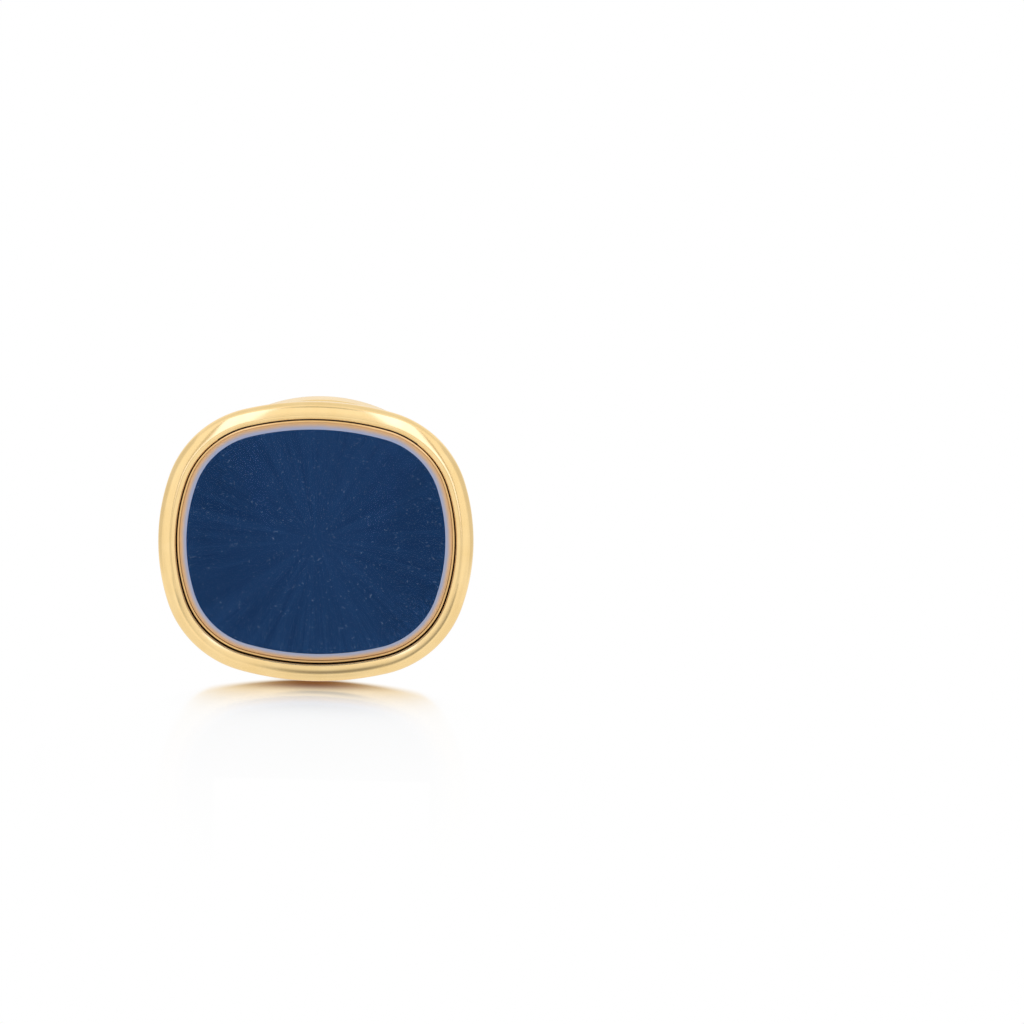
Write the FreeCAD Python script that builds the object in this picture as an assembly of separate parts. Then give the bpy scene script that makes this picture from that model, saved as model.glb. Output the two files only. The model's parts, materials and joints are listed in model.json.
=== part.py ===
import FreeCAD, Part
import math
import os

# A swivel-back cufflink. The head is a soft cushion shape: a gold beaded frame, a thin gold setting inside it,
# and a bevelled crystal over a flat dial. A post joins it to an oval back, which swings on a pin
# and is held flat, or in line with the post for the buttonhole, by a leaf spring on a square cam.
#
# Millimetres. Every piece is drawn with X across the face, Y back along the post and Z up, with the front of
# the bead at Y = 0. The whole cufflink is then leaned back until the bead and the rim of the oval back both
# touch the ground at Z = 0, which is how it stands on a table. The origin is under the middle of its box.

# Outline of the head
face_width = 18.0
face_height = 16.4
face_corner_radius = 6.0
face_side_turn = 18.1  # degrees that a side's arc turns, from its middle to the corner
face_top_turn = 14.7

# Outer frame
bead_radius = 0.50
bead_inner_turn = 70.0  # degrees, round the bead from its crown to the edge of the groove
frame_taper = 12.0  # degrees, inward from the bead to the back
frame_skirt = 0.50  # how far the frame reaches past the back of the dial
frame_wall_inset = 0.85  # from the outline to the wall that holds the setting and the case back

# Crystal setting
groove_width = 0.09
rim_width = 0.11
rim_depth = 0.46  # from the front of the bead to the front of the rim
ledge_width = 0.25
ledge_thickness = 0.12
flange_thickness = 0.40

# Crystal and dial
crystal_thickness = 0.66
crystal_rise = 0.04  # of the crystal's flat above the rim
bevel_width = 0.42
bevel_drop = 0.14
dial_thickness = 0.38

# Case back
back_edge_thickness = 0.30
back_dome_radius = 45.0
pad_radius = 2.10
pad_height = 0.20

# Post
post_reach = 10.1  # from the case back's pad to the hinge
neck_radius = 0.85
foot_radius = 1.90
foot_thickness = 0.35
foot_taper_length = 1.90  # of the cone between the foot and the neck
spigot_radius = 0.70
cam_corner_radius = 0.45

# Oval back
oval_width = 13.4
oval_height = 10.6
oval_corner_radius = 3.6
oval_side_turn = 24.0
oval_top_turn = 30.5
oval_depth = 2.30
oval_front_chamfer = 0.25
oval_back_radius = 1.10
shell_wall = 0.62
shell_floor = 0.50
plate_thickness = 0.35

# Hinge
pin_radius = 0.45
pin_head = 0.10  # how far each end of the pin stands out of its lug
lug_thickness = 0.80
lug_radius = 1.45

# Leaf spring
spring_length = 6.8
spring_width = 1.50
spring_thickness = 0.15
rivet_radius = 0.30
rivet_head_radius = 0.55
rivet_head_height = 0.25
rivet_edge = 0.70  # from a rivet's middle to the end of the spring

# Clearances
fit_clearance = 0.02
pin_clearance = 0.03
side_clearance = 0.10
fold_clearance = 0.12
window_clearance = 0.15
spring_clearance = 0.02
pocket_clearance = 0.40

tiny = 1e-6  # what counts as no length at all
edge_slack = 1e-3  # how far an edge's box may stand off a plane that the edge lies in


ACROSS = FreeCAD.Vector(1, 0, 0)
BACKWARD = FreeCAD.Vector(0, 1, 0)
UPWARD = FreeCAD.Vector(0, 0, 1)
MIDDLE = FreeCAD.Vector(0, 0, 0)


def point(x, y, z):
    return FreeCAD.Vector(x, y, z)


def rounded_wire(corners, place):
    """A closed wire through corners (u, v, radius), each turned with its radius, set in space by place(u, v)."""
    edges = []
    first = None
    last = None
    for index, (u, v, radius) in enumerate(corners):
        here = FreeCAD.Vector(u, v, 0)
        before = FreeCAD.Vector(corners[index - 1][0], corners[index - 1][1], 0)
        after_corner = corners[(index + 1) % len(corners)]
        after = FreeCAD.Vector(after_corner[0], after_corner[1], 0)
        to_before = (before - here).normalize()
        to_after = (after - here).normalize()
        half_angle = to_before.getAngle(to_after) / 2
        run = radius / math.tan(half_angle)
        start = here + to_before * run
        end = here + to_after * run
        if last is not None and (start - last).Length > tiny:
            edges.append(Part.LineSegment(place(last.x, last.y), place(start.x, start.y)).toShape())
        if radius > 0:
            inward = (to_before + to_after).normalize()
            crown = here + inward * (radius / math.sin(half_angle) - radius)
            ends = [place(spot.x, spot.y) for spot in (start, crown, end)]
            edges.append(Part.Arc(*ends).toShape())
        first = start if first is None else first
        last = end
    if (first - last).Length > tiny:
        edges.append(Part.LineSegment(place(last.x, last.y), place(first.x, first.y)).toShape())
    return Part.Wire(edges)


class Cushion:
    """A soft rectangle of eight tangent arcs, in planes across Y: two sides, a top, a bottom and four corners."""

    def __init__(self, width, height, corner_radius, side_turn, top_turn):
        self.corner_radius = corner_radius
        self.side_end = math.radians(side_turn)
        self.top_start = math.pi / 2 - math.radians(top_turn)
        self.find_radii(width / 2, height / 2)
        self.side_middle = width / 2 - self.side_radius
        self.top_middle = height / 2 - self.top_radius
        inner_radius = self.side_radius - corner_radius
        self.corner_x = self.side_middle + inner_radius * math.cos(self.side_end)
        self.corner_z = inner_radius * math.sin(self.side_end)

    def find_radii(self, half_width, half_height):
        """The three arcs of a quarter, end to end, have to add up to half the width and half the height."""
        side_x = 1 - math.cos(self.side_end)
        side_z = math.sin(self.side_end)
        top_x = math.cos(self.top_start)
        top_z = 1 - math.sin(self.top_start)
        left_x = half_width - self.corner_radius * (1 - side_x - top_x)
        left_z = half_height - self.corner_radius * (1 - side_z - top_z)
        divisor = side_x * top_z - side_z * top_x
        self.side_radius = (left_x * top_z - left_z * top_x) / divisor
        self.top_radius = (left_z * side_x - left_x * side_z) / divisor

    def arc(self, middle, radius, start, end, depth):
        turns = (start, (start + end) / 2, end)
        spots = [
            point(middle[0] + radius * math.cos(turn), depth, middle[1] + radius * math.sin(turn)) for turn in turns
        ]
        return Part.Arc(*spots).toShape()

    def wire(self, inset, depth):
        """The outline drawn in by inset, anticlockwise from the foot of the right side."""
        side, top = self.side_end, self.top_start
        corner = (self.corner_x, self.corner_z)
        half_turn = math.pi
        arcs = [
            ((self.side_middle, 0), self.side_radius, -side, side),
            (corner, self.corner_radius, side, top),
            ((0, self.top_middle), self.top_radius, top, half_turn - top),
            ((-corner[0], corner[1]), self.corner_radius, half_turn - top, half_turn - side),
            ((-self.side_middle, 0), self.side_radius, half_turn - side, half_turn + side),
            ((-corner[0], -corner[1]), self.corner_radius, half_turn + side, half_turn + top),
            ((0, -self.top_middle), self.top_radius, half_turn + top, 2 * half_turn - top),
            ((corner[0], -corner[1]), self.corner_radius, -top, -side),
        ]
        return Part.Wire([self.arc(middle, radius - inset, a, b, depth) for middle, radius, a, b in arcs])

    def plate(self, inset, front, back):
        face = Part.Face(self.wire(inset, front))
        return face.extrude(BACKWARD * (back - front))

    def ring(self, corners):
        """A section of corners (inset, depth, radius) carried all the way round the outline."""
        turn = -self.side_end
        outward = point(math.cos(turn), 0, math.sin(turn))
        start = point(self.side_middle, 0, 0) + outward * self.side_radius
        section = rounded_wire(corners, lambda inset, depth: start - outward * inset + BACKWARD * depth)
        return self.wire(0, 0).makePipe(Part.Face(section))


def level_edges(shape, depth):
    """Edges that lie all in the plane Y = depth."""
    return [
        edge
        for edge in shape.Edges
        if max(abs(edge.BoundBox.YMin - depth), abs(edge.BoundBox.YMax - depth)) < edge_slack
    ]


def rod(radius, front, back, x=0.0, z=0.0):
    """A round bar along the post's direction."""
    return Part.makeCylinder(radius, back - front, point(x, front, z), BACKWARD)


def cross_bar(radius, half_length, depth):
    """A round bar along the hinge, upright through the post."""
    return Part.makeCylinder(radius, 2 * half_length, point(0, depth, -half_length), UPWARD)


def turned(corners):
    """A solid turned about the post's axis from corners (radius, depth, corner radius)."""
    section = rounded_wire(corners, lambda radius, depth: point(radius, depth, 0))
    return Part.Face(section).revolve(MIDDLE, BACKWARD, 360)


face = Cushion(face_width, face_height, face_corner_radius, face_side_turn, face_top_turn)
oval = Cushion(oval_width, oval_height, oval_corner_radius, oval_side_turn, oval_top_turn)

# Insets from the head's outline, from the bead inward
bead_inset = bead_radius * (1 + math.sin(math.radians(bead_inner_turn)))
rim_outer_inset = bead_inset + groove_width
rim_inner_inset = rim_outer_inset + rim_width
ledge_inset = rim_inner_inset + ledge_width
crystal_inset = rim_inner_inset + fit_clearance
held_inset = frame_wall_inset + fit_clearance

# Depths of the head, from the front of the bead backward
crystal_front = rim_depth - crystal_rise
crystal_back = crystal_front + crystal_thickness
dial_front = crystal_back + ledge_thickness
dial_back = dial_front + dial_thickness
shoulder_depth = dial_back - flange_thickness
frame_back = dial_back + frame_skirt
back_reach = math.hypot(face.corner_x, face.corner_z) + face_corner_radius - held_inset
back_dome_middle = dial_back + back_edge_thickness - math.sqrt(back_dome_radius**2 - back_reach**2)
back_crown = back_dome_middle + back_dome_radius
pad_depth = back_crown + pad_height

# Depths of the hinge and the oval back
hinge_depth = pad_depth + post_reach
oval_front = hinge_depth + neck_radius + fold_clearance
plate_back = oval_front + plate_thickness
oval_back = oval_front + oval_depth
cam_half = plate_back - hinge_depth - spring_clearance
tongue_half = neck_radius
lug_inner = tongue_half + side_clearance
lug_outer = lug_inner + lug_thickness
rivet_place = spring_length / 2 - rivet_edge


def make_outer_frame():
    taper = math.radians(frame_taper)
    inner_turn = math.radians(bead_inner_turn)
    inner_corner = bead_radius * (1 + math.tan(inner_turn / 2))
    outer_corner = bead_radius - bead_radius * (1 + math.sin(taper)) / math.cos(taper)
    back_corner = outer_corner + frame_back * math.tan(taper)
    return face.ring([
        (bead_inset, bead_radius * (1 - math.cos(inner_turn)), 0),
        (inner_corner, 0, bead_radius),
        (outer_corner, 0, bead_radius),
        (back_corner, frame_back, 0),
        (frame_wall_inset, frame_back, 0),
        (frame_wall_inset, shoulder_depth, 0),
        (bead_inset, shoulder_depth, 0),
    ])


def make_crystal_setting():
    return face.ring([
        (rim_inner_inset, rim_depth, 0),
        (rim_outer_inset, rim_depth, 0),
        (rim_outer_inset, shoulder_depth, 0),
        (held_inset, shoulder_depth, 0),
        (held_inset, dial_back, 0),
        (rim_inner_inset, dial_back, 0),
        (rim_inner_inset, dial_front, 0),
        (ledge_inset, dial_front, 0),
        (ledge_inset, crystal_back, 0),
        (rim_inner_inset, crystal_back, 0),
    ])


def make_crystal():
    blank = face.plate(crystal_inset, crystal_front, crystal_back)
    ground_away = face.ring([
        (crystal_inset + bevel_width, crystal_front, 0),
        (crystal_inset, crystal_front, 0),
        (crystal_inset, crystal_front + bevel_drop, 0),
    ])
    return blank.cut(ground_away)


def make_dial():
    return face.plate(crystal_inset, dial_front, dial_back)


def make_case_back():
    dome = Part.makeSphere(back_dome_radius, point(0, back_dome_middle, 0))
    domed_plate = face.plate(held_inset, dial_back, pad_depth).common(dome)
    pad = rod(pad_radius, dial_back, pad_depth)
    hole = rod(spigot_radius + fit_clearance, dial_back, pad_depth)
    return domed_plate.fuse(pad).cut(hole).removeSplitter()


def make_post():
    foot_back = pad_depth + foot_thickness
    stem = turned([
        (0, dial_back, 0),
        (spigot_radius, dial_back, 0),
        (spigot_radius, pad_depth, 0),
        (foot_radius, pad_depth, 0),
        (foot_radius, foot_back, 0),
        (neck_radius, foot_back + foot_taper_length, 0),
        (neck_radius, hinge_depth, 0),
        (0, hinge_depth, 0),
    ])
    square = [(side, end, cam_corner_radius) for side, end in ((1, 1), (-1, 1), (-1, -1), (1, -1))]
    corners = [(side * cam_half, hinge_depth + end * cam_half, radius) for side, end, radius in square]
    cam_face = Part.Face(rounded_wire(corners, lambda x, depth: point(x, depth, -tongue_half)))
    cam = cam_face.extrude(UPWARD * (2 * tongue_half))
    pin_hole = cross_bar(pin_radius + pin_clearance, 2 * tongue_half, hinge_depth)
    return stem.fuse(cam).cut(pin_hole).removeSplitter()


def make_lug(side):
    """One of the two hinge lugs on the front of the oval back, round at its free end."""
    tip = hinge_depth - lug_radius
    corners = [
        (lug_radius, plate_back, 0),
        (-lug_radius, plate_back, 0),
        (-lug_radius, tip, lug_radius),
        (lug_radius, tip, lug_radius),
    ]
    base = min(side * lug_inner, side * lug_outer)
    profile = Part.Face(rounded_wire(corners, lambda x, depth: point(x, depth, base)))
    return profile.extrude(UPWARD * lug_thickness)


def make_hinge_plate():
    plate = oval.plate(shell_wall + fit_clearance, oval_front, plate_back)
    cam_reach = math.sqrt(2) * (cam_half - cam_corner_radius) + cam_corner_radius
    window_half = math.sqrt(cam_reach**2 - (oval_front - hinge_depth)**2) + window_clearance
    corner = point(-window_half, oval_front, -lug_inner)
    window = Part.makeBox(2 * window_half, plate_thickness, 2 * lug_inner, corner)
    shape = plate.fuse(make_lug(1)).fuse(make_lug(-1)).cut(window)
    shape = shape.cut(cross_bar(pin_radius + fit_clearance, 2 * lug_outer, hinge_depth))
    for side in (1, -1):
        shape = shape.cut(rod(rivet_radius + fit_clearance, oval_front, plate_back, side * rivet_place))
    return shape.removeSplitter()


def make_oval_shell():
    blank = oval.plate(0, oval_front, oval_back)
    blank = blank.makeChamfer(oval_front_chamfer, level_edges(blank, oval_front))
    blank = blank.makeFillet(oval_back_radius, level_edges(blank, oval_back))
    mouth = oval.plate(shell_wall, oval_front, plate_back)
    pocket_length = spring_length + 2 * pocket_clearance
    pocket_width = spring_width + 2 * pocket_clearance
    pocket_corner = point(-pocket_length / 2, plate_back, -pocket_width / 2)
    pocket = Part.makeBox(pocket_length, oval_back - shell_floor - plate_back, pocket_width, pocket_corner)
    return blank.cut(mouth).cut(pocket)


def make_hinge_pin():
    half_length = lug_outer + pin_head
    pin = cross_bar(pin_radius, half_length, hinge_depth)
    ends = [edge for edge in pin.Edges if abs(abs(edge.CenterOfMass.z) - half_length) < tiny]
    return pin.makeChamfer(pin_head, ends)


def make_leaf_spring():
    corner = point(-spring_length / 2, plate_back, -spring_width / 2)
    leaf = Part.makeBox(spring_length, spring_thickness, spring_width, corner)
    for side in (1, -1):
        hole = rod(rivet_radius + fit_clearance, plate_back, plate_back + spring_thickness, side * rivet_place)
        leaf = leaf.cut(hole)
    return leaf


def make_spring_rivets():
    head_front = plate_back + spring_thickness
    rivets = []
    for side in (1, -1):
        place = side * rivet_place
        shank = rod(rivet_radius, oval_front, head_front, place)
        head = rod(rivet_head_radius, head_front, head_front + rivet_head_height, place)
        rivets.append(shank.fuse(head))
    return Part.makeCompound(rivets)


pieces = {
    "outer_frame": make_outer_frame(),
    "crystal_setting": make_crystal_setting(),
    "crystal": make_crystal(),
    "dial": make_dial(),
    "case_back": make_case_back(),
    "post": make_post(),
    "hinge_plate": make_hinge_plate(),
    "oval_shell": make_oval_shell(),
    "hinge_pin": make_hinge_pin(),
    "leaf_spring": make_leaf_spring(),
    "spring_rivets": make_spring_rivets(),
}

# The lean: the ground is the line that touches the foot of the bead and the foot of the oval back's rim
bead_foot = point(0, bead_radius, bead_radius - face_height / 2)
rim_foot = point(0, oval_back - oval_back_radius, oval_back_radius - oval_height / 2)
step = rim_foot - bead_foot
lean = math.atan2(step.z, step.y) - math.asin((oval_back_radius - bead_radius) / step.Length)

for shape in pieces.values():
    shape.rotate(MIDDLE, ACROSS, -math.degrees(lean))
box = Part.makeCompound(list(pieces.values())).optimalBoundingBox(False, False)
to_origin = point(0, -box.Center.y, -box.ZMin)

os.makedirs("parts", exist_ok=True)
for name, shape in pieces.items():
    shape.translate(to_origin)
    shape.exportStep(f"parts/{name}.step")

print(f"lean {math.degrees(lean):.3f} degrees")
print(f"box {box.XLength:.2f} x {box.YLength:.2f} x {box.ZLength:.2f} mm")
hinge = FreeCAD.Rotation(ACROSS, -math.degrees(lean)).multVec(BACKWARD * hinge_depth) + to_origin
print(f"hinge at {hinge.x:.4f}, {hinge.y:.4f}, {hinge.z:.4f}")
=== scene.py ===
import json
import math

import bmesh
import bpy
from mathutils import Matrix, Vector


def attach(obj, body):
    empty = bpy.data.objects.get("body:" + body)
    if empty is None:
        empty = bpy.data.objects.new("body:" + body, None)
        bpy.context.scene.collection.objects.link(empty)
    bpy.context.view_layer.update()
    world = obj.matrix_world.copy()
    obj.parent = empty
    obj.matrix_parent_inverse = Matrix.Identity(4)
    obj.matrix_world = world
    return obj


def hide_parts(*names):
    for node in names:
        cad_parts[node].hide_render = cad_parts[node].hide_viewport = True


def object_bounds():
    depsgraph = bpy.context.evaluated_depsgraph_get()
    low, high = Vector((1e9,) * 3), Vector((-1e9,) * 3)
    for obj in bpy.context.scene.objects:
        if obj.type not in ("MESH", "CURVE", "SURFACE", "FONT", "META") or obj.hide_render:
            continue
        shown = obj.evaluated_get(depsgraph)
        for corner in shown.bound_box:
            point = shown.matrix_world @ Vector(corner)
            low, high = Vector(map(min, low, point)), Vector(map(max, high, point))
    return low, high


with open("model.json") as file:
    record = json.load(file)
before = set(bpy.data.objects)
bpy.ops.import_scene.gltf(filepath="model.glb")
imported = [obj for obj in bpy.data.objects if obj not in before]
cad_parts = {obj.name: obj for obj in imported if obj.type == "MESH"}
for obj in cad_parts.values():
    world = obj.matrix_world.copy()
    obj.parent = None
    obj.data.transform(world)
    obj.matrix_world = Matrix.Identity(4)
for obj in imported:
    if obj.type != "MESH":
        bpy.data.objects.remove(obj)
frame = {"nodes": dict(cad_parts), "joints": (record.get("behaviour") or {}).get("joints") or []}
cad_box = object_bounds()

bl_info = {
    "name": "Swivel-Back Cufflink",
    "version": (1, 0, 0),
    "blender": (4, 5, 0),
    "location": "View3D > Sidebar > Cufflink",
    "description": "Dresses the packed cufflink: frame, crystal, sunburst dial and swinging oval back",
    "category": "Add Mesh",
}

# Pieces are drawn in millimetres with X across the face, Y back along the post and Z up, with the front
# of the bead at Y = 0, and are then set into the frame by its hinge.
MM = 0.001
TINY = 1e-5  # millimetres that count as no length at all
STATIONS = 288  # points round a cushion outline
ROUND_STATIONS = 72  # points round a circle
ARC_STEP = math.radians(5.0)
SHARP_ANGLE = math.radians(32.0)
EDGE_SEGMENTS = 3  # facets across a softened edge
BEVEL_SHARE = "bevel_share"  # 0 at the outside of the crystal's bevel and 1 at its inside


def length(name, millimetres, description):
    """A length in the sidebar, given here in millimetres."""
    return bpy.props.FloatProperty(
        name=name, description=description, default=millimetres * MM, min=0.0, unit="LENGTH", precision=5
    )


def turn(name, degrees, description):
    """An angle in the sidebar, given here in degrees."""
    return bpy.props.FloatProperty(
        name=name, description=description, default=math.radians(degrees), subtype="ANGLE"
    )


def level(name, value, description):
    """A plain number in the sidebar."""
    return bpy.props.FloatProperty(name=name, description=description, default=value, min=0.0)


def colour(name, value, description):
    """A scene-linear colour in the sidebar."""
    return bpy.props.FloatVectorProperty(
        name=name, description=description, default=value, size=3, min=0.0, max=1.0, subtype="COLOR"
    )


class HeadSizes(bpy.types.PropertyGroup):
    """Sizes of the frame, the setting, the crystal, the dial and the case back."""

    face_width: length("Face width", 18.0, "Across the whole frame")
    face_height: length("Face height", 16.4, "From the bottom of the frame to its top")
    face_corner_radius: length("Corner radius", 6.0, "Of the frame's outline")
    face_side_turn: turn("Side turn", 18.1, "Of a side's arc, from its middle to the corner")
    face_top_turn: turn("Top turn", 14.7, "Of the top arc, from its middle to the corner")
    bead_radius: length("Bead radius", 0.50, "Of the round bead in front of the frame")
    bead_width: length("Bead width", 1.0, "From the outline to the groove")
    flank_turn: turn("Flank turn", 38.0, "Slope of the bead's flank beside the lip")
    lip_width: length("Lip width", 0.055, "Of the bead's steep lip at the groove")
    lip_turn: turn("Lip turn", 61.0, "Slope of that lip")
    lip_radius: length("Lip radius", 0.02, "Of the edges of that lip")
    frame_taper: turn("Frame taper", 12.0, "Inward from the bead to the back")
    frame_skirt: length("Frame skirt", 0.50, "How far the frame reaches past the back of the dial")
    frame_wall_inset: length("Frame wall inset", 0.85, "From the outline to the wall round the setting")
    groove_width: length("Groove width", 0.08, "Between the bead and the setting")
    rim_width: length("Rim width", 0.11, "Of the setting's rim beside the crystal")
    rim_depth: length("Rim depth", 0.46, "From the front of the bead to the front of the rim")
    ledge_width: length("Ledge width", 0.25, "Of the ledge that the crystal lies on")
    ledge_thickness: length("Ledge thickness", 0.12, "Between the crystal and the dial")
    flange_thickness: length("Flange thickness", 0.40, "Of the setting's flange behind the bead")
    crystal_thickness: length("Crystal thickness", 0.66, "Of the crystal at its flat")
    crystal_rise: length("Crystal rise", 0.04, "Of the crystal's flat above the rim")
    bevel_width: length("Bevel width", 0.40, "Of the ground bevel round the crystal")
    bevel_drop: length("Bevel drop", 0.14, "From the crystal's flat to the edge of the bevel")
    dial_thickness: length("Dial thickness", 0.38, "Of the dial plate")
    back_edge_thickness: length("Back edge", 0.30, "Of the case back at the corners of the head")
    back_dome_radius: length("Back dome radius", 45.0, "Of the domed case back")
    pad_radius: length("Pad radius", 2.10, "Of the round pad under the post's foot")
    pad_height: length("Pad height", 0.20, "Of that pad above the dome")


class PostSizes(bpy.types.PropertyGroup):
    """Sizes of the post and its square cam."""

    post_reach: length("Post reach", 10.1, "From the case back's pad to the hinge")
    neck_radius: length("Neck radius", 0.85, "Of the post's round neck")
    foot_radius: length("Foot radius", 1.90, "Of the post's foot")
    foot_thickness: length("Foot thickness", 0.35, "Of the foot's straight edge")
    foot_taper_length: length("Foot taper", 1.90, "Of the cone between the foot and the neck")
    spigot_radius: length("Spigot radius", 0.70, "Of the end that goes through the case back")
    cam_corner_radius: length("Cam corner radius", 0.45, "Of the square cam's corners")


class OvalSizes(bpy.types.PropertyGroup):
    """Sizes of the oval back, its hinge and its spring."""

    oval_width: length("Oval width", 13.4, "Across the oval back")
    oval_height: length("Oval height", 10.6, "From the bottom of the oval back to its top")
    oval_corner_radius: length("Oval corner radius", 3.6, "Of the oval back's outline")
    oval_side_turn: turn("Oval side turn", 24.0, "Of a side's arc, from its middle to the corner")
    oval_top_turn: turn("Oval top turn", 30.5, "Of the top arc, from its middle to the corner")
    oval_depth: length("Oval depth", 2.30, "From the front of the oval back to its back")
    oval_front_chamfer: length("Front chamfer", 0.25, "Round the front of the oval back")
    oval_back_radius: length("Back radius", 1.10, "Round the back of the oval back")
    shell_wall: length("Shell wall", 0.62, "From the oval's outline to the hinge plate")
    shell_floor: length("Shell floor", 0.50, "Behind the spring's pocket")
    plate_thickness: length("Plate thickness", 0.35, "Of the hinge plate")
    pin_radius: length("Pin radius", 0.45, "Of the hinge pin")
    pin_head: length("Pin head", 0.10, "How far each end of the pin stands out of its lug")
    lug_thickness: length("Lug thickness", 0.80, "Of each hinge lug, along the pin")
    lug_radius: length("Lug radius", 1.45, "Of the round end of each lug")
    spring_length: length("Spring length", 6.8, "Of the leaf spring")
    spring_width: length("Spring width", 1.50, "Of the leaf spring")
    rivet_radius: length("Rivet radius", 0.30, "Of the rivets that hold the spring")
    rivet_edge: length("Rivet edge", 0.70, "From a rivet's middle to the end of the spring")
    fit_clearance: length("Fit clearance", 0.02, "Between pieces that are held in each other")
    pin_clearance: length("Pin clearance", 0.03, "Between the pin and the post")
    side_clearance: length("Side clearance", 0.10, "Between the post and each lug")
    fold_clearance: length("Fold clearance", 0.12, "Between the folded oval back and the neck")
    window_clearance: length("Window clearance", 0.15, "Round the cam where it turns in the plate")
    spring_clearance: length("Spring clearance", 0.02, "Between the cam and the spring")
    pocket_clearance: length("Pocket clearance", 0.40, "Round the spring in the shell")
    edge_softness: length("Edge softness", 0.05, "Rounding of turned and stamped edges")


class Finishes(bpy.types.PropertyGroup):
    """Colours and gloss of the materials."""

    gold: colour("Gold", (0.97, 0.72, 0.36), "Polished gold")
    gold_deep: colour("Deep gold", (0.93, 0.67, 0.31), "Gold where the polish is a little dulled")
    rim: colour("Rim", (0.81, 0.53, 0.23), "Satin gold of the ring round the crystal")
    # Painted shade: the groove's near-black stands in for the shade in the narrow gap between bead and
    # setting.
    groove: colour("Groove", (0.060, 0.026, 0.006), "The dark line between the bead and the setting")
    gold_smooth: level("Gold gloss", 0.13, "Roughness where the gold is freshly polished")
    gold_rough: level("Gold wear", 0.21, "Roughness where the gold is handled")
    # Painted reflection: the bevel's two colours stand in for the gold ledge and the blue dial seen through
    # the ground glass.
    bevel_outer: colour("Bevel outside", (0.86, 0.55, 0.28), "Ground bevel, lit by the gold behind it")
    bevel_inner: colour("Bevel inside", (0.42, 0.48, 0.68), "Ground bevel, over the dial")
    dial_dark: colour("Dial dark", (0.0104, 0.0425, 0.1270), "Dark rays of the dial")
    dial_light: colour("Dial light", (0.0200, 0.0680, 0.1890), "Light rays of the dial")
    dial_speck: colour("Dial specks", (0.12, 0.19, 0.33), "Fine light specks on the dial")
    steel: colour("Spring steel", (0.52, 0.51, 0.50), "Rolled spring and rivets")
    floor: colour("Floor", (0.985, 0.985, 0.985), "The pale floor")
    # Painted shadow: a dark brown laid into the floor's colour under the bead, seen only by the camera.
    floor_contact: colour("Floor at the bead", (0.22, 0.095, 0.05), "Its mirror under the gold")


class StageSettings(bpy.types.PropertyGroup):
    """Camera and light."""

    camera_distance: length("Camera distance", 354.0, "From the middle of the head")
    camera_elevation: turn("Camera elevation", 24.84, "Above the floor")
    camera_azimuth: turn("Camera azimuth", 1.16, "To the right of the face")
    camera_roll: turn("Camera roll", 0.87, "Round the line of sight")
    lens: length("Lens", 217.97, "Focal length on a 36 mm sensor")
    aim_x: level("Aim across", 315.93, "Pixel from the left where the head's middle falls, of 1024")
    aim_y: level("Aim down", 541.94, "Pixel from the top where the head's middle falls, of 1024")
    world_level: level("World light", 0.90, "On matt surfaces; at 1 a colour renders as written")
    lamp_power: level("Overhead light", 0.6, "Power of the soft light above, in watts")


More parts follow.
